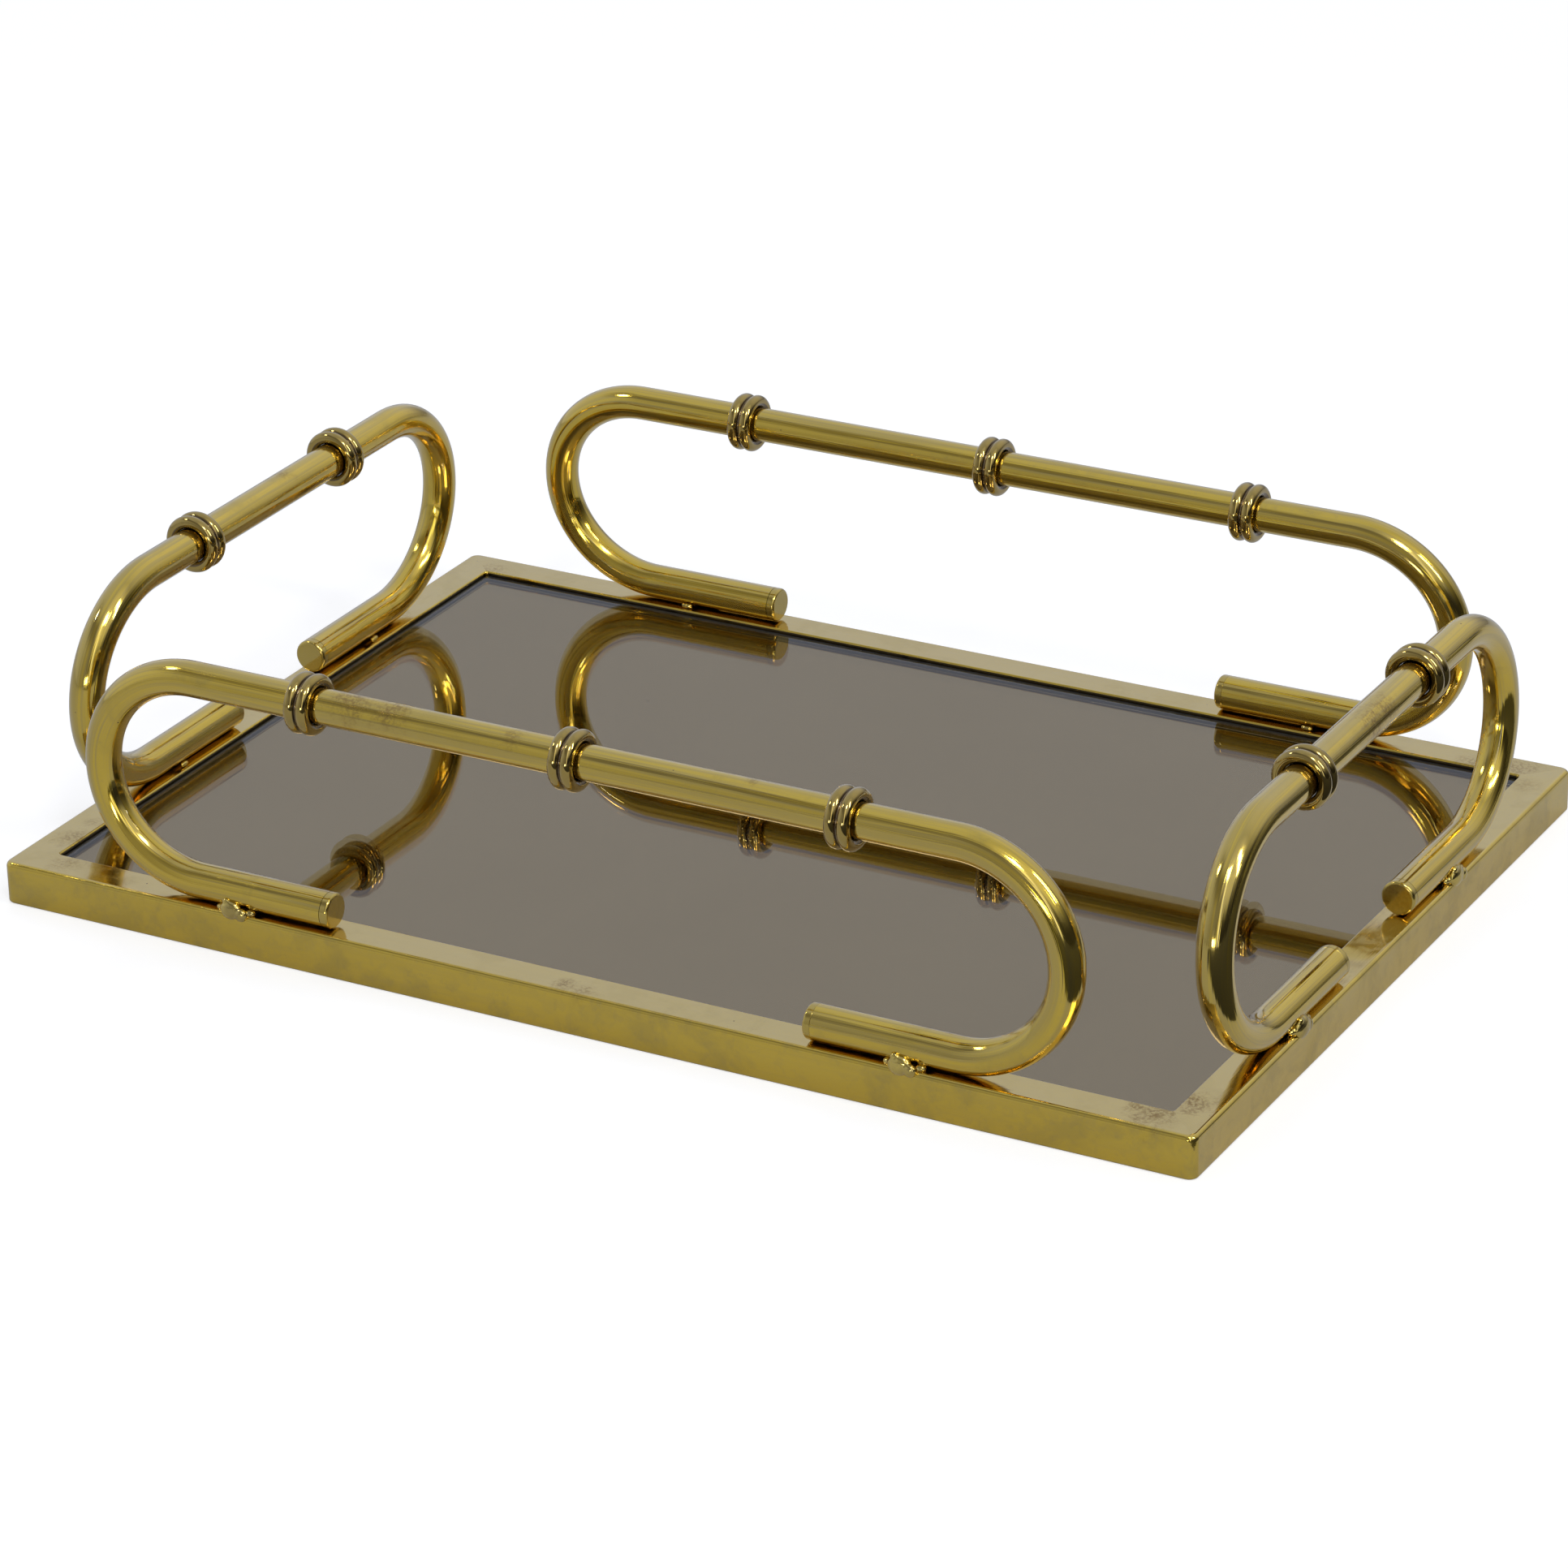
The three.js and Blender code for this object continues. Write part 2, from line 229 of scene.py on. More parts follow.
def make_old_brass():
    """Lacquered brass that was buffed by hand: dull patches, stains, pits, buffing lines and a paler
    mix that paints light onto the faces that look up.
    """
    group, given, out = shader_group(
        "old brass",
        [
            ("Vector", (0, 0, 0)), ("Along", (1, 1, 1)), ("Clean", CLEAN_BRASS),
            ("Tarnished", TARNISHED_BRASS), ("Dull cover", 0.3), ("Stain", 0.0),
            ("Gloss", 0.085), ("Waviness", 1.0), ("Streaks", 0.3), ("Painted top light", 0.0),
        ],
        [("Colour", "Color"), ("Roughness", "Float"), ("Height", "Float"), ("Lacquer", "Float")],
    )
    vector = given.outputs["Vector"]
    dull = node(group, "Group", {
        "Vector": vector, "Size": 0.022, "Cover": given.outputs["Dull cover"], "Softness": 0.09,
    }, node_tree=patches).outputs["Mask"]
    freckles = node(group, "Group", {
        "Vector": vector, "Size": 0.0035, "Cover": given.outputs["Dull cover"], "Softness": 0.06,
    }, node_tree=patches).outputs["Mask"]
    lines_vector = node(group, "VectorMath", {0: vector, 1: given.outputs["Along"]},
                        operation="MULTIPLY").outputs["Vector"]
    lines = node(group, "TexNoise", {
        "Vector": lines_vector, "Scale": 2600, "Detail": 3, "Roughness": 0.6,
    }).outputs["Fac"]
    streaks = node(group, "TexNoise", {
        "Vector": lines_vector, "Scale": 420, "Detail": 3, "Roughness": 0.65,
    }).outputs["Fac"]
    cells = node(group, "TexVoronoi", {"Vector": vector, "Scale": 210, "Randomness": 1.0})
    rare = maths(group, "GREATER_THAN", node(group, "SeparateColor", {
        "Color": cells.outputs["Color"],
    }).outputs["Red"], 0.93)
    dot = maths(group, "SUBTRACT", 1.0, ramp(group, cells.outputs["Distance"], 0.03, 0.075))
    pits = maths(group, "MULTIPLY", dot, rare)
    waves = node(group, "TexNoise", {
        "Vector": vector, "Scale": 38, "Detail": 1.5, "Roughness": 0.4,
    }).outputs["Fac"]

    aged = maths(group, "ADD", maths(group, "MULTIPLY", dull, 0.7),
                 maths(group, "MULTIPLY", freckles, 0.3))
    banded = maths(group, "MULTIPLY", ramp(group, streaks, 0.42, 0.66), given.outputs["Streaks"])
    aged = maths(group, "MAXIMUM", aged, banded)
    colour = mixed(group, aged, given.outputs["Clean"], given.outputs["Tarnished"])
    # Painted light: a share of paler brass on the faces that look up.
    colour = mixed(group, given.outputs["Painted top light"], colour, TOP_LIGHT_BRASS)
    colour = mixed(group, given.outputs["Stain"], colour, BROWN_STAIN)
    colour = mixed(group, pits, colour, DARK_PIT)
    group.links.new(colour, out.inputs["Colour"])

    rough = maths(group, "MULTIPLY_ADD", dull, 0.05, given.outputs["Gloss"])
    rough = maths(group, "MULTIPLY_ADD", freckles, 0.06, rough)
    rough = maths(group, "MULTIPLY_ADD", lines, 0.03, rough)
    rough = maths(group, "MULTIPLY_ADD", given.outputs["Stain"], 0.16, rough)
    rough = maths(group, "MULTIPLY_ADD", pits, 0.4, rough)
    group.links.new(rough, out.inputs["Roughness"])

    height = maths(group, "MULTIPLY", maths(group, "MULTIPLY", waves, given.outputs["Waviness"]), 0.9)
    height = maths(group, "MULTIPLY_ADD", lines, 0.012, height)
    height = maths(group, "MULTIPLY_ADD", streaks, given.outputs["Streaks"], height)
    height = maths(group, "MULTIPLY_ADD", pits, -0.25, height)
    height = maths(group, "MULTIPLY_ADD", given.outputs["Stain"], -0.02, height)
    group.links.new(height, out.inputs["Height"])

    worn = maths(group, "MULTIPLY_ADD", given.outputs["Stain"], -0.85, 1.0)
    worn = maths(group, "MULTIPLY_ADD", dull, -0.25, worn)
    group.links.new(worn, out.inputs["Lacquer"])
    return group


patches = make_patches()
stain = make_stain()
old_brass = make_old_brass()


def brass(name, along=(0.02, 1, 1), stains=(), attribute=None, shift=(0, 0, 0), painted_top_light=0, **values):
    """A brass material. `along` squeezes the pattern in the direction of the buffing lines,
    and the faces that look up are painted paler by the given share: painted light from above."""
    material = bpy.data.materials.new(name)
    material.use_nodes = True
    tree = material.node_tree
    shader = tree.nodes["Principled BSDF"]
    if attribute:
        where = node(tree, "Attribute", attribute_name=attribute).outputs["Vector"]
    else:
        where = node(tree, "TexCoord").outputs["Object"]
    moved = node(tree, "Mapping", {"Vector": where, "Location": shift}).outputs["Vector"]
    stained = 0.0
    for centre, radius, strength in stains:
        spot = node(tree, "Group", {
            "Vector": where, "Centre": centre, "Radius": radius, "Strength": strength,
        }, node_tree=stain).outputs["Mask"]
        stained = maths(tree, "MAXIMUM", stained, spot)
    # Painted light: the faces that look up are mixed towards paler brass.
    if painted_top_light:
        facing = node(tree, "SeparateXYZ", {
            "Vector": node(tree, "NewGeometry").outputs["True Normal"],
        }).outputs["Z"]
        values["Painted top light"] = maths(tree, "MULTIPLY", ramp(tree, facing, 0.8, 1.0), painted_top_light)
    metal = node(tree, "Group", {
        "Vector": moved, "Along": along, "Stain": stained, **values,
    }, node_tree=old_brass)
    bump = node(tree, "Bump", {
        "Height": metal.outputs["Height"], "Strength": 1.0, "Distance": 0.0002,
    })
    tree.links.new(metal.outputs["Colour"], shader.inputs["Base Color"])
    tree.links.new(metal.outputs["Roughness"], shader.inputs["Roughness"])
    tree.links.new(metal.outputs["Lacquer"], shader.inputs["Coat Weight"])
    tree.links.new(bump.outputs["Normal"], shader.inputs["Normal"])
    shader.inputs["Metallic"].default_value = 1.0
    shader.inputs["Coat Roughness"].default_value = 0.04
    shader.inputs["Coat IOR"].default_value = 1.62
    return material


def box_centre(node_name):
    low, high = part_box(node_name)
    return (Vector(low) + Vector(high)) / 2


half_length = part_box("right_rail")[1][0]
half_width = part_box("back_rail")[1][1]
rail_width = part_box("front_rail")[1][1] + half_width
rail_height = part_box("front_rail")[1][2]
opening_x = half_length - rail_width
opening_y = half_width - rail_width


def round_outline(piece, half_x, half_y, radius, segments):
    """Adds a rectangle with round corners, as an outline with no face."""
    bpy.ops.mesh.primitive_plane_add(size=2, location=(0, 0, 0))
    bpy.ops.transform.resize(value=(half_x, half_y, 1))
    bpy.ops.mesh.delete(type="ONLY_FACE")
    corners = (lambda co: abs(abs(co.x) - half_x) < 1e-6 and abs(abs(co.y) - half_y) < 1e-6)
    select_parts(piece, "vertices", corners)
    bpy.ops.mesh.bevel(offset=radius, segments=segments, affect="VERTICES", profile=0.5)


bpy.ops.object.select_all(action="DESELECT")
bpy.ops.mesh.primitive_plane_add(size=0.01, location=(0, 0, 0))
frame_piece = bpy.context.object
frame_piece.name = "whole_frame"
edit(frame_piece)
bpy.ops.mesh.select_all(action="SELECT")
bpy.ops.mesh.delete(type="VERT")
round_outline(frame_piece, opening_x, opening_y, OPENING_CORNER_RADIUS, 16)
round_outline(frame_piece, half_length, half_width, CORNER_RADIUS, 16)
bpy.ops.mesh.select_all(action="SELECT")
bpy.ops.mesh.bridge_edge_loops()
bpy.ops.mesh.select_all(action="SELECT")
bpy.ops.mesh.extrude_region_move(TRANSFORM_OT_translate={"value": (0, 0, rail_height)})
bpy.ops.mesh.select_all(action="SELECT")
bpy.ops.mesh.normals_make_consistent(inside=False)


def on_opening(co):
    return abs(co.x) < opening_x + 1e-5 and abs(co.y) < opening_y + 1e-5


def on_outside(co):
    return not on_opening(co)


for side_of, height, radius, segments in (
    (on_outside, rail_height, RAIL_OUTER_EDGE, 10),
    (on_opening, rail_height, RAIL_INNER_EDGE, 6),
    (on_outside, 0, RAIL_UNDER_EDGE, 6),
    (on_opening, 0, RAIL_UNDER_EDGE, 4),
):
    def rim(a, b):
        level_edge = abs(a.z - height) < 1e-6 and abs(b.z - height) < 1e-6
        return level_edge and side_of(a) and side_of(b)

    select_parts(frame_piece, "edges", rim)
    bpy.ops.mesh.bevel(offset=radius, segments=segments, affect="EDGES", profile=0.5)
done()

SIDES = ("front", "right", "back", "left")
OUTWARD = {"front": (0, -1), "right": (1, 0), "back": (0, 1), "left": (-1, 0)}
# Each stain lies on the top of its rail, at a place along and across the tray in millimetres,
# with a radius in millimetres and a strength. The darkest ones sit in the front right corner.
RAIL_STAINS = {
    "front": [
        (202, -142, 12, 1.0),
        (196, -140, 7, 0.9),
        (206, -138, 5, 0.7),
        (-4, -146, 6, 0.85),
        (4, -148, 6, 0.6),
        (-200, -143, 9, 0.5),
    ],
    "right": [
        (210, -130, 9, 1.0),
        (210, -135, 6, 0.75),
        (211, 131, 8, 0.35),
    ],
    "back": [
        (203, 142, 17, 0.62),
        (188, 140, 9, 0.55),
        (-205, 139, 8, 0.5),
    ],
    "left": [
        (-209, -125, 10, 0.65),
        (-210, -112, 6, 0.4),
        (-213, 90, 6, 0.4),
    ],
}


def on_rail_top(x, y):
    return x / 1000, y / 1000, rail_height


# Painted shade: the inner walls of the rails are painted near black for the shade in the narrow gap
# beside the glass, which the mirror also shows.
inner_wall_painted_shade = brass(
    "rail_inner_wall_painted_shade", Clean=(0.10, 0.075, 0.03, 1), Tarnished=(0.03, 0.024, 0.015, 1), Gloss=0.3,
)
for side in SIDES:
    out_x, out_y = OUTWARD[side]
    rail = copy_of(frame_piece, f"rail_{side}")
    edit(rail)
    for turn in (-1, 1):
        # The mitre at one end: the plane through the corner, half way to the next side.
        next_x, next_y = -turn * out_y, turn * out_x
        corner = Vector(((out_x + next_x) * half_length, (out_y + next_y) * half_width, 0))
        across = Vector((next_x - out_x, next_y - out_y, 0)).normalized()
        bpy.ops.mesh.select_all(action="SELECT")
        bpy.ops.mesh.bisect(
            plane_co=corner, plane_no=across, use_fill=True, clear_outer=True, clear_inner=False,
        )
    done()
    lengthwise = (0.02, 1, 1) if out_x == 0 else (1, 0.02, 1)
    rail_stains = [
        (on_rail_top(x, y), radius / 1000, strength) for x, y, radius, strength in RAIL_STAINS[side]
    ]
    # The rail tops get painted light: their faces that look up are mixed paler.
    rail.data.materials.append(brass(
        f"rail_brass_{side}", along=lengthwise, stains=rail_stains,
        shift=(0.3 * SIDES.index(side), 0.1, 0), painted_top_light=0.7,
        Waviness=5.0, Streaks=0.3, **{"Dull cover": 0.42},
    ))
    rail.data.materials.append(inner_wall_painted_shade)
    wall = half_width - rail_width if out_x == 0 else half_length - rail_width
    # The faces of the inner walls take the painted shade.
    for face in rail.data.polygons:
        inwards = -(face.normal.x * out_x + face.normal.y * out_y)
        reach = face.center.x * out_x + face.center.y * out_y
        if inwards > 0.99 and reach < wall + 0.0002:
            face.material_index = 1
    finish_surface(rail, math.radians(35))
    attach(rail, "root")
    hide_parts(f"{side}_rail")
bpy.data.objects.remove(frame_piece)

# ----------------------------------------------------------------------------------- ledges
# Brass angle strips soldered to the inner walls of the rails. The board rests on their flat
# flanges. They were never buffed, so they are dull and browned by the soldering flame.
ledge_brass = brass(
    "ledge_brass", Clean=(0.42, 0.28, 0.10, 1), Tarnished=(0.20, 0.12, 0.05, 1), Gloss=0.32,
    **{"Dull cover": 0.75},
)
for side in SIDES:
    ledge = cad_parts[f"{side}_ledge"]
    ledge.data.materials.clear()
    ledge.data.materials.append(ledge_brass)

# ------------------------------------------------------------------------------------ board
# A sheet of hardboard that backs the glass and keeps it up against the ledges. It is pressed
# brown wood fibre with a smooth face, and shows only as a thin line beside the baize.
board_material = bpy.data.materials.new("hardboard")
board_material.use_nodes = True
board_tree = board_material.node_tree
board_shader = board_tree.nodes["Principled BSDF"]
board_place = node(board_tree, "TexCoord").outputs["Object"]
fibres = node(board_tree, "TexNoise", {
    "Vector": board_place, "Scale": 900, "Detail": 6, "Roughness": 0.7, "Distortion": 1.5,
}).outputs["Fac"]
blotches = node(board_tree, "Group", {
    "Vector": board_place, "Size": 0.04, "Cover": 0.5, "Softness": 0.2,
}, node_tree=patches).outputs["Mask"]
fibre_colour = mixed(board_tree, fibres, (0.10, 0.05, 0.022, 1), (0.30, 0.18, 0.09, 1))
board_colour = mixed(board_tree, blotches, fibre_colour, (0.13, 0.075, 0.035, 1))
board_bump = node(board_tree, "Bump", {"Height": fibres, "Strength": 0.6, "Distance": 0.0001})
board_tree.links.new(board_colour, board_shader.inputs["Base Color"])
board_tree.links.new(board_bump.outputs["Normal"], board_shader.inputs["Normal"])
board_shader.inputs["Roughness"].default_value = 0.7
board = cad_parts["backing_board"]
board.data.materials.clear()
board.data.materials.append(board_material)

# ------------------------------------------------------------------------------------ baize
# Green wool baize glued under the board, so that the tray does not scratch a table. It was
# cut by hand with scissors, and its fibres stand up a little all over.
BAIZE_UNEVENNESS = 0.00012
baize_low, baize_high = (Vector(corner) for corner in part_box("underside_baize"))
baize_size = baize_high - baize_low
baize_middle = (baize_low + baize_high) / 2
bpy.ops.object.select_all(action="DESELECT")
bpy.ops.mesh.primitive_plane_add(size=1, location=(0, 0, 0))
baize = bpy.context.object
baize.name = "baize_sheet"
edit(baize)
bpy.ops.mesh.select_all(action="SELECT")
bpy.ops.transform.resize(value=(baize_size.x, baize_size.y, 1))
bpy.ops.mesh.subdivide(number_cuts=64)
bpy.ops.mesh.extrude_region_move(TRANSFORM_OT_translate={"value": (0, 0, baize_size.z)})
bpy.ops.mesh.select_all(action="SELECT")
bpy.ops.mesh.normals_make_consistent(inside=False)


def baize_rim(a, b):
    same_level = abs(a.z - b.z) < 1e-6
    both_x = abs(abs(a.x) - baize_size.x / 2) < 1e-6 and abs(a.x - b.x) < 1e-6
    both_y = abs(abs(a.y) - baize_size.y / 2) < 1e-6 and abs(a.y - b.y) < 1e-6
    return same_level and (both_x or both_y)


select_parts(baize, "edges", baize_rim)
bpy.ops.mesh.bevel(offset=baize_size.z * 0.3, segments=2, affect="EDGES", profile=0.5)
done()
# The seed keeps the hand cut edge the same each time.
CUT_SEED = 5
WOOL_DARK = (0.004, 0.022, 0.012, 1)
WOOL_GREEN = (0.020, 0.075, 0.040, 1)
WOOL_RUBBED = (0.024, 0.055, 0.034, 1)
noise.seed_set(CUT_SEED)
for vertex in baize.data.vertices:
    point = vertex.co
    rise = noise.noise(Vector((point.x, point.y, 0)) / 0.012)
    wander = noise.noise_vector(Vector((point.x, point.y, 5)) / 0.02)
    edge = max(abs(point.x) * 2 / baize_size.x, abs(point.y) * 2 / baize_size.y)
    trim = BAIZE_UNEVENNESS * 2 if edge > 0.99 else 0
    point.x += trim * (wander.x - math.copysign(1, point.x))
    point.y += trim * (wander.y - math.copysign(1, point.y))
    point.z += baize_low.z + BAIZE_UNEVENNESS * (rise - 1) * (1 if point.z > baize_size.z / 2 else -1)
baize.data.transform(Matrix.Translation((baize_middle.x, baize_middle.y, 0)))
baize_material = bpy.data.materials.new("green_baize")
baize_material.use_nodes = True
baize_tree = baize_material.node_tree
baize_shader = baize_tree.nodes["Principled BSDF"]
baize_place = node(baize_tree, "TexCoord").outputs["Object"]
wool = node(baize_tree, "TexNoise", {
    "Vector": baize_place, "Scale": 2200, "Detail": 5, "Roughness": 0.75, "Distortion": 2.5,
}).outputs["Fac"]
rubbed = node(baize_tree, "Group", {
    "Vector": baize_place, "Size": 0.05, "Cover": 0.45, "Softness": 0.25,
}, node_tree=patches).outputs["Mask"]
wool_colour = mixed(baize_tree, wool, WOOL_DARK, WOOL_GREEN)
baize_colour = mixed(baize_tree, rubbed, wool_colour, WOOL_RUBBED)
baize_bump = node(baize_tree, "Bump", {"Height": wool, "Strength": 1.0, "Distance": 0.0003})
baize_tree.links.new(baize_colour, baize_shader.inputs["Base Color"])
baize_tree.links.new(baize_bump.outputs["Normal"], baize_shader.inputs["Normal"])
baize_shader.inputs["Roughness"].default_value = 0.95
baize_shader.inputs["Sheen Weight"].default_value = 0.35
baize_shader.inputs["Sheen Roughness"].default_value = 0.5
baize.data.materials.append(baize_material)
finish_surface(baize, math.radians(40))
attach(baize, "root")
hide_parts("underside_baize")

# ------------------------------------------------------------------------------------ glass
# A pane of plate glass with a smoked silvering on its back and ground sides. It lies loose
# inside the rails with its face a little below their tops, so that it shows every loop twice.
GLASS_CORNER = 0.002
GLASS_ARRIS = 0.0003
CLEAR_TINT = (0.97, 0.98, 0.97, 1)
DUST_GREY = (0.75, 0.73, 0.70, 1)
DUST_SCALE = 95
DUST_PICK = 0.93
SMOKED_SILVER = (0.345, 0.262, 0.135, 1)
CLOUDED_SILVER = (0.325, 0.245, 0.125, 1)
GROUND_DARK = (0.045, 0.050, 0.065, 1)
GROUND_PALE = (0.11, 0.12, 0.14, 1)
glass_low, glass_high = (Vector(corner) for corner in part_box("mirror_glass"))
glass_half = (glass_high - glass_low) / 2
bpy.ops.object.select_all(action="DESELECT")
bpy.ops.mesh.primitive_plane_add(size=0.01, location=(0, 0, 0))
glass = bpy.context.object
glass.name = "mirror_pane"
edit(glass)
bpy.ops.mesh.select_all(action="SELECT")
bpy.ops.mesh.delete(type="VERT")
round_outline(glass, glass_half.x, glass_half.y, GLASS_CORNER, 6)
bpy.ops.mesh.select_all(action="SELECT")
bpy.ops.mesh.edge_face_add()
bpy.ops.mesh.extrude_region_move(TRANSFORM_OT_translate={"value": (0, 0, glass_half.z * 2)})
bpy.ops.mesh.select_all(action="SELECT")
bpy.ops.mesh.normals_make_consistent(inside=False)
bpy.ops.mesh.select_all(action="DESELECT")
select_parts(glass, "edges", lambda a, b: abs(a.z - b.z) < 1e-6)
bpy.ops.mesh.bevel(offset=GLASS_ARRIS, segments=2, affect="EDGES", profile=0.5)
done()
glass.data.transform(Matrix.Translation((0, 0, glass_low.z)))

clear_glass = bpy.data.materials.new("polished_glass")
clear_glass.use_nodes = True
glass_tree = clear_glass.node_tree
glass_shader = glass_tree.nodes["Principled BSDF"]
glass_place = node(glass_tree, "TexCoord").outputs["Object"]
specks = node(glass_tree, "TexVoronoi", {"Vector": glass_place, "Scale": DUST_SCALE})
speck_pick = node(glass_tree, "SeparateColor", {"Color": specks.outputs["Color"]})
speck_kept = maths(glass_tree, "GREATER_THAN", speck_pick.outputs["Green"], DUST_PICK)
speck_dot = maths(glass_tree, "SUBTRACT", 1.0,
                  ramp(glass_tree, specks.outputs["Distance"], 0.012, 0.03))
speck = maths(glass_tree, "MULTIPLY", speck_dot, speck_kept)
wipes = node(glass_tree, "Group", {
    "Vector": glass_place, "Size": 0.03, "Cover": 0.25, "Softness": 0.3,
}, node_tree=patches).outputs["Mask"]
glass_gloss = maths(glass_tree, "MULTIPLY_ADD", wipes, 0.012, 0.0)
glass_gloss = maths(glass_tree, "MULTIPLY_ADD", speck, 0.5, glass_gloss)
glass_tree.links.new(glass_gloss, glass_shader.inputs["Roughness"])
glass_tint = mixed(glass_tree, speck, CLEAR_TINT, DUST_GREY)
glass_tree.links.new(glass_tint, glass_shader.inputs["Base Color"])
glass_shader.inputs["Transmission Weight"].default_value = 1.0
glass_shader.inputs["IOR"].default_value = 1.52

silvering = bpy.data.materials.new("smoked_silvering")
silvering.use_nodes = True
silver_tree = silvering.node_tree
silver_shader = silver_tree.nodes["Principled BSDF"]
silver_place = node(silver_tree, "TexCoord").outputs["Object"]
cloudy = node(silver_tree, "Group", {
    "Vector": silver_place, "Size": 0.09, "Cover": 0.5, "Softness": 0.35,
}, node_tree=patches).outputs["Mask"]
silver_colour = mixed(silver_tree, cloudy, SMOKED_SILVER, CLOUDED_SILVER)
silver_tree.links.new(silver_colour, silver_shader.inputs["Base Color"])
silver_shader.inputs["Metallic"].default_value = 1.0
silver_shader.inputs["Roughness"].default_value = 0.0

ground_glass = bpy.data.materials.new("ground_glass_side")
ground_glass.use_nodes = True
ground_tree = ground_glass.node_tree
ground_shader = ground_tree.nodes["Principled BSDF"]
grinding = node(ground_tree, "TexNoise", {
    "Vector": node(ground_tree, "TexCoord").outputs["Object"], "Scale": 1500, "Detail": 4,
}).outputs["Fac"]
ground_colour = mixed(ground_tree, grinding, GROUND_DARK, GROUND_PALE)
ground_tree.links.new(ground_colour, ground_shader.inputs["Base Color"])
ground_shader.inputs["Roughness"].default_value = 0.55

for material in (clear_glass, silvering, ground_glass):
    glass.data.materials.append(material)
for face in glass.data.polygons:
    if face.normal.z < -0.99:
        face.material_index = 1
    elif abs(face.normal.z) < 0.01:
        face.material_index = 2
finish_surface(glass, math.radians(20))
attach(glass, "root")
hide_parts("mirror_glass")

# ------------------------------------------------------------------------------------ loops
# A loop stands on each rail: one length of drawn brass tube bent round a former at both ends,
# so that it has two short feet and a long bar. The bars are rubbed dull where hands hold them.
TUBE_RADIUS = 0.006
TUBE_BORE = 0.005
TUBE_SIDES = 48
BEND_REACH = 0.0372
BEND_RISE = 0.0359
BAR_LENGTH = {"front": 0.2796, "right": 0.1506, "back": 0.2796, "left": 0.1506}
FOOT_LENGTH = {"front": 0.052, "right": 0.050, "back": 0.052, "left": 0.050}
PLUG_HEAD = 0.003
BEND_RINGS = 56
ROUND = 4 / 3 * (math.sqrt(2) - 1)


def loop_frame(side):
    """The place of a loop: x along its rail, z up its own leaning plane, origin at the feet."""
    out_x, out_y = OUTWARD[side]
    along = Vector((-out_y, out_x, 0))
    foot = box_centre(f"{side}_end_plug_1")
    bar = box_centre(f"{side}_collar_1")
    middle = box_centre(f"{side}_loop")
    up = bar - foot
    up -= along * up.dot(along)
    up.normalize()
    origin = foot + along * (middle - foot).dot(along)
    turned = Matrix((along, up.cross(along), up)).transposed().to_4x4()
    return Matrix.Translation(origin) @ turned


def place_piece(piece, matrix):
    """Puts the finished mesh in its place, with the object itself left at the origin."""
    bpy.ops.object.select_all(action="DESELECT")
    piece.select_set(True)
    bpy.context.view_layer.objects.active = piece
    piece.matrix_world = matrix
    bpy.ops.object.transform_apply(location=True, rotation=True, scale=True)


def bending_line(name, half_bar, foot_end):
    """The centreline as a Bezier curve in the x-z plane, from one foot to the other."""
    bpy.ops.object.select_all(action="DESELECT")
    bpy.ops.curve.primitive_bezier_curve_add(location=(0, 0, 0))
    line = bpy.context.object
    line.name = name
    top = 2 * BEND_RISE
    pull_x, pull_z = BEND_REACH * ROUND, BEND_RISE * ROUND
    knots = [
        (foot_end, 0, 0.005, 0), (half_bar, 0, pull_x, 0),
        (half_bar + BEND_REACH, BEND_RISE, 0, pull_z), (half_bar, top, -pull_x, 0),
        (-half_bar, top, -pull_x, 0), (-half_bar - BEND_REACH, BEND_RISE, 0, -pull_z),
        (-half_bar, 0, pull_x, 0), (-foot_end, 0, 0.005, 0),
    ]
    spline = line.data.splines[0]
    spline.bezier_points.add(len(knots) - 2)
    for knot, (x, z, pull_x, pull_z) in zip(spline.bezier_points, knots):
        knot.handle_left_type = knot.handle_right_type = "FREE"
        knot.co = (x, 0, z)
        knot.handle_left = (x - pull_x, 0, z - pull_z)
        knot.handle_right = (x + pull_x, 0, z + pull_z)
    line.data.dimensions = "3D"
    line.data.twist_mode = "MINIMUM"
    line.data.resolution_u = 64
    return line


# Each stain lies on the straight tube, before it is bent: the distance from the tube's left
# end, the turn round the tube from its inner side in degrees, a radius and a strength.
TUBE_STAINS = {
    "front": [
        (0.380, 250, 0.012, 0.85),
        (0.365, 240, 0.011, 0.85),
        (0.320, 240, 0.006, 0.6),
        (0.235, 270, 0.004, 0.55),
        (0.030, 230, 0.004, 0.5),
    ],
    "right": [
        (0.240, 190, 0.012, 0.95),
        (0.230, 210, 0.010, 0.8),
        (0.190, 230, 0.006, 0.35),
    ],
    "back": [
        (0.330, 240, 0.006, 0.4),
        (0.220, 250, 0.005, 0.35),
    ],
    "left": [
        (0.245, 270, 0.006, 0.55),
        (0.200, 220, 0.005, 0.35),
    ],
}


def on_tube(distance, turn):
    """The point on the straight tube's surface at a distance along it and a turn round it."""
    angle = math.radians(turn)
    return distance, TUBE_RADIUS * math.cos(angle), TUBE_RADIUS * math.sin(angle)


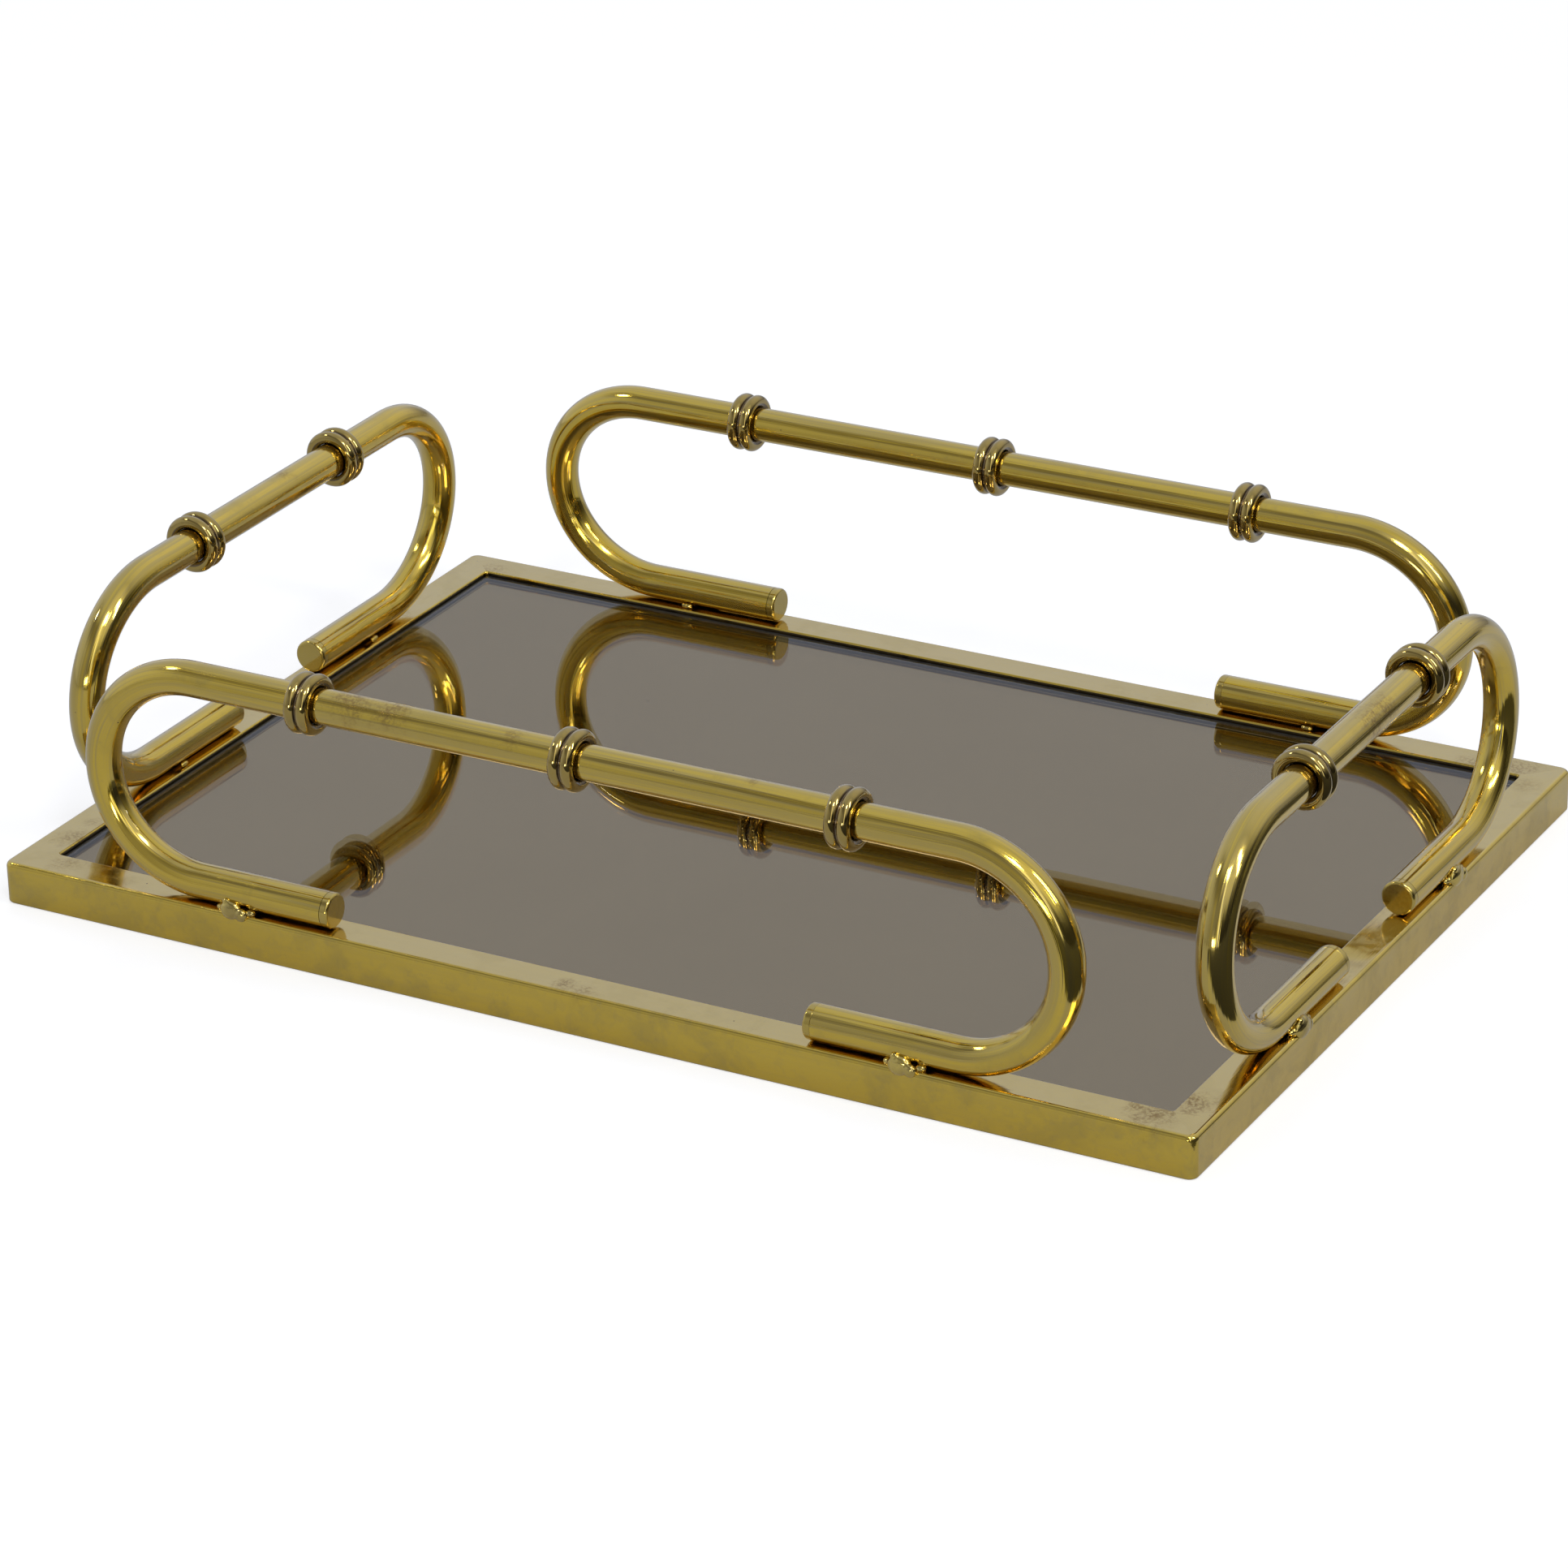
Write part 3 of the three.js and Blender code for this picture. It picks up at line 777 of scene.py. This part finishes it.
for side in SIDES:
    half_bar = BAR_LENGTH[side] / 2
    foot_end = half_bar - FOOT_LENGTH[side] + PLUG_HEAD
    line = bending_line(f"line_{side}", half_bar, foot_end)
    whole = line.data.splines[0].calc_length()
    foot = half_bar - foot_end
    bend = (whole - 2 * foot - 2 * half_bar) / 2
    rings = [0, foot]
    rings += [foot + bend * (i + 1) / BEND_RINGS for i in range(BEND_RINGS)]
    rings += [foot + bend + 2 * half_bar]
    rings += [foot + bend + 2 * half_bar + bend * (i + 1) / BEND_RINGS for i in range(BEND_RINGS)]
    rings += [whole]
    bpy.ops.object.select_all(action="DESELECT")
    bpy.ops.mesh.primitive_circle_add(
        vertices=TUBE_SIDES, radius=TUBE_RADIUS, location=(0, 0, 0), rotation=(0, math.pi / 2, 0),
    )
    tube = bpy.context.object
    tube.name = f"tube_{side}"
    edit(tube)
    bpy.ops.mesh.select_all(action="SELECT")
    bpy.ops.mesh.extrude_region_move()
    bpy.ops.transform.resize(value=(1, TUBE_BORE / TUBE_RADIUS, TUBE_BORE / TUBE_RADIUS))
    bpy.ops.mesh.select_all(action="SELECT")
    for start, end in zip(rings, rings[1:]):
        bpy.ops.mesh.extrude_region_move(TRANSFORM_OT_translate={"value": (end - start, 0, 0)})
    bpy.ops.mesh.select_all(action="SELECT")
    bpy.ops.mesh.normals_make_consistent(inside=False)
    done()
    bpy.ops.object.transform_apply(location=True, rotation=True, scale=True)
    unbent = tube.data.attributes.new(name="unbent", type="FLOAT_VECTOR", domain="POINT")
    for vertex, value in zip(tube.data.vertices, unbent.data):
        value.vector = vertex.co
    bending = tube.modifiers.new("bending", "CURVE")
    bending.object = line
    bending.deform_axis = "POS_X"
    bpy.ops.object.modifier_apply(modifier=bending.name)
    bpy.data.objects.remove(line)
    tube_stains = [
        (on_tube(distance, turn), radius, strength)
        for distance, turn, radius, strength in TUBE_STAINS[side]
    ]
    tube.data.materials.append(brass(
        f"tube_brass_{side}", attribute="unbent", along=(0.015, 1, 1),
        stains=tube_stains, shift=(0.7 * SIDES.index(side), 0, 0),
        Streaks=1.3, **{"Dull cover": 0.3},
    ))
    finish_surface(tube, math.radians(30))
    place_piece(tube, loop_frame(side))
    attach(tube, "root")
    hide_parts(f"{side}_loop")

# ---------------------------------------------------------------------------------- collars
# Turned brass collars slide onto the bar before it is bent and are pressed in place. Each has
# two round beads with a deep groove between them, and a fine ring at the bottom of the groove.
BEAD_RADIUS = 0.00215
BEAD_SPACING = 0.0045
COLLAR_RADIUS = 0.0102
GROOVE_DEPTH = 0.0015
BEAD_STEPS = 24
TURNED_SIDES = 72


def turned_piece(name, profile, closed):
    """Turns a profile of (place along x, radius) points about the x axis, as a lathe does."""
    place, radius = profile[0]
    bpy.ops.object.select_all(action="DESELECT")
    bpy.ops.mesh.primitive_circle_add(
        vertices=TURNED_SIDES, radius=radius, location=(place, 0, 0), rotation=(0, math.pi / 2, 0),
        fill_type="NOTHING" if closed else "NGON",
    )
    piece = bpy.context.object
    piece.name = name
    edit(piece)
    bpy.ops.mesh.select_all(action="SELECT")
    steps = profile[1:] + (profile[:1] if closed else [])
    for next_place, next_radius in steps:
        bpy.ops.mesh.extrude_region_move(
            TRANSFORM_OT_translate={"value": (next_place - place, 0, 0)})
        share = next_radius / radius
        bpy.ops.transform.resize(value=(1, share, share), center_override=(next_place, 0, 0))
        place, radius = next_place, next_radius
    bpy.ops.mesh.select_all(action="SELECT")
    bpy.ops.mesh.remove_doubles(threshold=1e-6)
    bpy.ops.mesh.normals_make_consistent(inside=False)
    done()
    bpy.ops.object.transform_apply(location=True, rotation=True, scale=True)
    return piece


bead_line = COLLAR_RADIUS - BEAD_RADIUS


def bead(middle, start, end):
    """Points round the section of a bead, from `start` to `end` degrees over its top."""
    angles = [math.radians(start + (end - start) * i / BEAD_STEPS) for i in range(BEAD_STEPS + 1)]
    return [
        (middle - BEAD_RADIUS * math.cos(angle), bead_line + BEAD_RADIUS * math.sin(angle))
        for angle in angles
    ]


groove_ring = COLLAR_RADIUS - GROOVE_DEPTH
collar_profile = bead(-BEAD_SPACING / 2, -60, 160)
collar_profile += [(-0.0001, groove_ring + 0.0002), (0.0001, groove_ring + 0.0002)]
collar_profile += bead(BEAD_SPACING / 2, 20, 240)
collar_pattern = turned_piece("collar_pattern", collar_profile, closed=True)
collar_pattern.data.materials.append(brass(
    "collar_brass", Clean=(0.45, 0.31, 0.05, 1), Tarnished=(0.26, 0.18, 0.045, 1),
    Gloss=0.03, Waviness=0.2, Streaks=0.0,
    **{"Dull cover": 0.18},
))
# Painted shade: the groove and the inner sides of the beads next to the tube are painted dark brown
# for the shade that falls there.
collar_pattern.data.materials.append(brass(
    "collar_groove_painted_shade", Clean=(0.17, 0.11, 0.035, 1), Tarnished=(0.07, 0.048, 0.02, 1),
    Gloss=0.25,
))
# Faces in the groove and beside the tube take the painted shade.
for face in collar_pattern.data.polygons:
    outwards = math.hypot(face.center.y, face.center.z)
    in_groove = abs(face.center.x) < BEAD_SPACING / 2 and outwards < COLLAR_RADIUS - 0.00085
    beside_tube = abs(face.center.x) > BEAD_SPACING / 2 and outwards < bead_line - 0.0006
    if in_groove or beside_tube:
        face.material_index = 1
finish_surface(collar_pattern, math.radians(50))
COLLARS = {"front": 3, "right": 2, "back": 3, "left": 2}
for side in SIDES:
    turned = loop_frame(side)
    for number in range(1, COLLARS[side] + 1):
        collar = copy_of(collar_pattern, f"collar_{side}_{number}")
        where = turned.copy()
        where.translation = box_centre(f"{side}_collar_{number}")
        place_piece(collar, where)
        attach(collar, "root")
        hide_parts(f"{side}_collar_{number}")
bpy.data.objects.remove(collar_pattern)

# ------------------------------------------------------------------------------------ plugs
# Turned brass plugs close both ends of each tube. The head is as wide as the tube, with a
# filed round edge and a flat face, and a fine seam is left where it meets the tube.
PLUG_SPIGOT_RADIUS = 0.0045
PLUG_SPIGOT_LENGTH = 0.006
PLUG_EDGE = 0.0011
SEAM = 0.00010
EDGE_STEPS = 8
plug_profile = [(-PLUG_SPIGOT_LENGTH, PLUG_SPIGOT_RADIUS), (SEAM, PLUG_SPIGOT_RADIUS)]
plug_profile += [(SEAM, TUBE_RADIUS - SEAM), (2 * SEAM, TUBE_RADIUS)]
for i in range(EDGE_STEPS + 1):
    angle = math.pi / 2 * i / EDGE_STEPS
    plug_profile.append((
        PLUG_HEAD - PLUG_EDGE * (1 - math.sin(angle)),
        TUBE_RADIUS - PLUG_EDGE * (1 - math.cos(angle)),
    ))
plug_profile.append((PLUG_HEAD, TUBE_RADIUS * 0.3))
plug_pattern = turned_piece("plug_pattern", plug_profile, closed=False)
plug_pattern.data.materials.append(brass(
    "plug_brass", Clean=(0.62, 0.45, 0.08, 1), Gloss=0.09, Streaks=0.1, along=(1, 1, 1),
    **{"Dull cover": 0.55},
))
finish_surface(plug_pattern, math.radians(35))
for side in SIDES:
    turned = loop_frame(side)
    foot_end = BAR_LENGTH[side] / 2 - FOOT_LENGTH[side] + PLUG_HEAD
    for number, end in ((1, -1), (2, 1)):
        plug = copy_of(plug_pattern, f"end_plug_{side}_{number}")
        # The head points to the middle of the loop, so the plug at the far end is turned round.
        facing = Matrix.Rotation(math.pi if end > 0 else 0, 4, "Z")
        place_piece(plug, turned @ Matrix.Translation((end * foot_end, 0, 0)) @ facing)
        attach(plug, "root")
        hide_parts(f"{side}_end_plug_{number}")
bpy.data.objects.remove(plug_pattern)

# ------------------------------------------------------------------------------------ tacks
# Blobs of pale brazing brass hold each foot down in the crevice between tube and rail. The
# braze ran in from outside, froze in two lumps with blowholes, and was buffed but not filed.
TACK_VOXEL = 0.00024
TACK_LUMPS = [
    ((-0.0014, -0.0056, -0.0052), (0.0044, 0.0023, 0.0037)),
    ((-0.0030, -0.0060, -0.0024), (0.0016, 0.0010, 0.0014)),
    ((-0.0058, -0.0044, -0.0054), (0.0021, 0.0014, 0.0013)),
    ((0.0026, -0.0064, -0.0060), (0.0025, 0.0017, 0.0024)),
    ((0.0052, -0.0044, -0.0054), (0.0021, 0.0014, 0.0013)),
]
TACK_INNER_LUMPS = [
    ((0.0006, 0.0045, -0.0053), (0.0021, 0.0010, 0.0009)),
    ((0.0021, 0.0049, -0.0052), (0.0008, 0.0008, 0.0009)),
]
blowholes = bpy.data.textures.new("blowholes", "CLOUDS")
blowholes.noise_scale = 0.0012
blowholes.noise_depth = 2
braze_material = brass(
    "braze", Clean=(0.76, 0.57, 0.11, 1), Tarnished=(0.46, 0.34, 0.09, 1), Gloss=0.06,
    Waviness=1.0, along=(1, 1, 1), **{"Dull cover": 0.45},
)
# The seed keeps the shape of each tack the same each time.
TACK_SEED = 8
noise.seed_set(TACK_SEED)
tack_count = 0
for side in SIDES:
    out_x, out_y = OUTWARD[side]
    along = Vector((-out_y, out_x, 0))
    foot = box_centre(f"{side}_end_plug_1")
    square = Matrix((along, (-out_x, -out_y, 0), (0, 0, 1))).transposed().to_4x4()
    for number in (1, 2):
        seen = box_centre(f"{side}_tack_{number}")
        origin = foot + along * (seen - foot).dot(along)
        lumps = TACK_LUMPS + (TACK_INNER_LUMPS if side in ("back", "left") else [])
        bpy.ops.object.select_all(action="DESELECT")
        bpy.ops.mesh.primitive_ico_sphere_add(subdivisions=2, radius=1e-4, location=lumps[0][0])
        tack = bpy.context.object
        tack.name = f"tack_{side}_{number}"
        bpy.ops.object.transform_apply(location=True, rotation=True, scale=True)
        edit(tack)
        for index, (middle, size) in enumerate(lumps):
            drift = noise.noise_vector(Vector((tack_count * 1.7, index * 2.3, 0.5)))
            middle = Vector(middle) + drift * 0.00035
            growth = 1 + 0.18 * drift.x
            bpy.ops.mesh.select_all(action="DESELECT")
            bpy.ops.mesh.primitive_ico_sphere_add(subdivisions=4, radius=1, location=middle)
            bpy.ops.transform.resize(value=Vector(size) * growth, center_override=middle)
        done()
        for kind, settings in (
            ("REMESH", {"mode": "VOXEL", "voxel_size": TACK_VOXEL}),
            ("SMOOTH", {"factor": 0.5, "iterations": 16}),
            ("DISPLACE", {"texture": blowholes, "strength": 0.00012, "mid_level": 0.5,
                          "texture_coords": "LOCAL"}),
            ("SMOOTH", {"factor": 0.4, "iterations": 2}),
        ):
            step = tack.modifiers.new(kind.lower(), kind)
            for key, value in settings.items():
                setattr(step, key, value)
            bpy.ops.object.modifier_apply(modifier=step.name)
        tack.data.materials.append(braze_material)
        bpy.ops.object.shade_smooth()
        place_piece(tack, Matrix.Translation(origin) @ square)
        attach(tack, "root")
        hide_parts(f"{side}_tack_{number}")
        tack_count += 1

# ------------------------------------------------------------------------------------ stage
# A pale table top in a white room. The walls are brighter behind and to the left of the tray,
# and a black card lies beyond its right end, which gives the brass its dark lines.
FLOOR_GREY = (0.52, 0.52, 0.52, 1)
FLOOR_GLOW = 0.62
BRIGHT_WALL = (0.52, 0.555, 0.66, 1)
DIM_WALL = (0.28, 0.285, 0.30, 1)
DARK_CORNER = (0.19, 0.19, 0.20, 1)
BLACK_CURTAIN = (0.03, 0.03, 0.035, 1)
DARK_BEAM = (0.20, 0.20, 0.21, 1)
SKYLIGHT = (0.70, 0.72, 0.78, 1)
WHITE_ROOM = (0.93, 0.93, 0.93, 1)
GLOW_WHITE = (1.7, 1.74, 1.8, 1)
GLOW_HALF_WIDTH = 0.14
GLOW_MIDDLE = (0.559, -0.829, 0)
GLOW_ACROSS = (0.829, 0.559, 0)
CARD_LENGTH = 5.6
CARD_WIDTH = 3.4
CARD_TURN = math.radians(-19.3)
CARD_EDGE = 0.29
bpy.ops.object.select_all(action="DESELECT")
bpy.ops.mesh.primitive_plane_add(size=12, location=(0, 0, 0))
floor = bpy.context.object
floor.name = "floor"
floor_material = bpy.data.materials.new("pale_floor")
floor_material.use_nodes = True
floor_tree = floor_material.node_tree
floor_shader = floor_tree.nodes["Principled BSDF"]
floor_shader.inputs["Base Color"].default_value = FLOOR_GREY
floor_shader.inputs["Roughness"].default_value = 0.8
floor_shader.inputs["Specular IOR Level"].default_value = 0.1
floor_shader.inputs["Emission Color"].default_value = (1, 1, 1, 1)
seen_straight = node(floor_tree, "LightPath").outputs["Is Camera Ray"]
floor_tree.links.new(maths(floor_tree, "MULTIPLY", seen_straight, FLOOR_GLOW),
                     floor_shader.inputs["Emission Strength"])
floor.data.materials.append(floor_material)

bpy.ops.object.select_all(action="DESELECT")
bpy.ops.mesh.primitive_plane_add(size=1, location=(0, 0, 0))
card = bpy.context.object
card.name = "black_card"
edit(card)
bpy.ops.mesh.select_all(action="SELECT")
bpy.ops.transform.resize(value=(CARD_LENGTH, CARD_WIDTH, 1))
bpy.ops.transform.translate(value=(CARD_LENGTH / 2, 0, 0.002))
done()
card.data.transform(Matrix.Translation((CARD_EDGE, 0, 0)) @ Matrix.Rotation(CARD_TURN, 4, "Z"))
card_material = bpy.data.materials.new("black_card")
card_material.use_nodes = True
card_shader = card_material.node_tree.nodes["Principled BSDF"]
card_shader.inputs["Base Color"].default_value = (0.03, 0.03, 0.03, 1)
card_shader.inputs["Roughness"].default_value = 0.9
card.data.materials.append(card_material)
card.visible_camera = False
card.visible_diffuse = False
card.visible_shadow = False

world = bpy.data.worlds.new("studio")
world.use_nodes = True
bpy.context.scene.world = world
world_tree = world.node_tree
background = world_tree.nodes["Background"]
direction = node(world_tree, "TexCoord").outputs["Generated"]


def towards(x, y, z):
    return node(world_tree, "VectorMath", {0: direction, 1: (x, y, z)},
                operation="DOT_PRODUCT").outputs["Value"]


height = towards(0, 0, 1)
bright_side = ramp(world_tree, towards(-0.75, 0.5, 0.35), -0.35, 0.65)
right_side = ramp(world_tree, towards(0.95, -0.3, 0), 0.35, 0.75)
low = maths(world_tree, "SUBTRACT", 1.0, ramp(world_tree, height, 0.12, 0.62))
back_right = ramp(world_tree, towards(0.55, 0.85, 0), 0.55, 0.9)
band = maths(world_tree, "MULTIPLY", ramp(world_tree, height, 0.45, 0.72),
             maths(world_tree, "SUBTRACT", 1.0, ramp(world_tree, height, 0.78, 0.9)))
front_band = maths(world_tree, "MULTIPLY", band, ramp(world_tree, towards(-0.3, -1, 0), 0.1, 0.5))
wall = mixed(world_tree, bright_side, DIM_WALL, BRIGHT_WALL)
wall = mixed(world_tree, maths(world_tree, "MULTIPLY", low, back_right), wall, DARK_CORNER)
wall = mixed(world_tree, maths(world_tree, "MULTIPLY", low, right_side), wall, BLACK_CURTAIN)
wall = mixed(world_tree, front_band, wall, DARK_BEAM)
skylight = maths(world_tree, "MAXIMUM",
                 ramp(world_tree, towards(0.52, -0.30, 0.80), 0.78, 0.97),
                 maths(world_tree, "MULTIPLY",
                       ramp(world_tree, towards(0.30, 0.72, 0.62), 0.72, 0.96), 0.6))
wall = mixed(world_tree, skylight, wall, SKYLIGHT)
# A tall soft glow in front and to the right, brightest along its middle.
beside_glow = maths(world_tree, "ABSOLUTE", towards(*GLOW_ACROSS))
glow = maths(world_tree, "SUBTRACT", 1.0, ramp(world_tree, beside_glow, 0.0, GLOW_HALF_WIDTH))
glow = maths(world_tree, "MULTIPLY", glow, ramp(world_tree, towards(*GLOW_MIDDLE), 0.35, 0.75))
wall = mixed(world_tree, glow, wall, GLOW_WHITE)
seen_straight = node(world_tree, "LightPath").outputs["Is Camera Ray"]
world_tree.links.new(mixed(world_tree, seen_straight, wall, WHITE_ROOM),
                     background.inputs["Color"])
background.inputs["Strength"].default_value = 1.0

SOFTBOX_DISTANCE = 2.4


def softbox(name, azimuth, elevation, size, brightness, colour=(1, 1, 1)):
    """A square of light that faces the tray. Azimuth 0 is in front and 90 to the right."""
    light_data = bpy.data.lights.new(name, "AREA")
    light_data.shape = "RECTANGLE"
    light_data.size, light_data.size_y = size
    light_data.energy = brightness * math.pi * size[0] * size[1]
    light_data.color = colour
    light = bpy.data.objects.new(name, light_data)
    bpy.context.scene.collection.objects.link(light)
    turn, lift = math.radians(azimuth), math.radians(elevation)
    ray = Vector((math.sin(turn) * math.cos(lift), -math.cos(turn) * math.cos(lift),
                  math.sin(lift)))
    light.location = ray * SOFTBOX_DISTANCE
    light.rotation_euler = ray.to_track_quat("Z", "Y").to_euler()
    light.visible_camera = False
    return light


COOL_WHITE = (0.96, 0.98, 1.0)
softbox("right_softbox", 85, 42, (0.24, 1.0), 14, COOL_WHITE)
softbox("front_softbox", 38, 56, (0.40, 0.44), 14, COOL_WHITE)
softbox("low_softbox", 12, 5, (0.5, 0.24), 9)
softbox("left_softbox", -68, 44, (0.26, 0.26), 14)
key_light = softbox("key_light", -140, 48, (0.7, 0.7), 2.2)
key_light.visible_glossy = False

bpy.context.scene.view_settings.view_transform = "Standard"
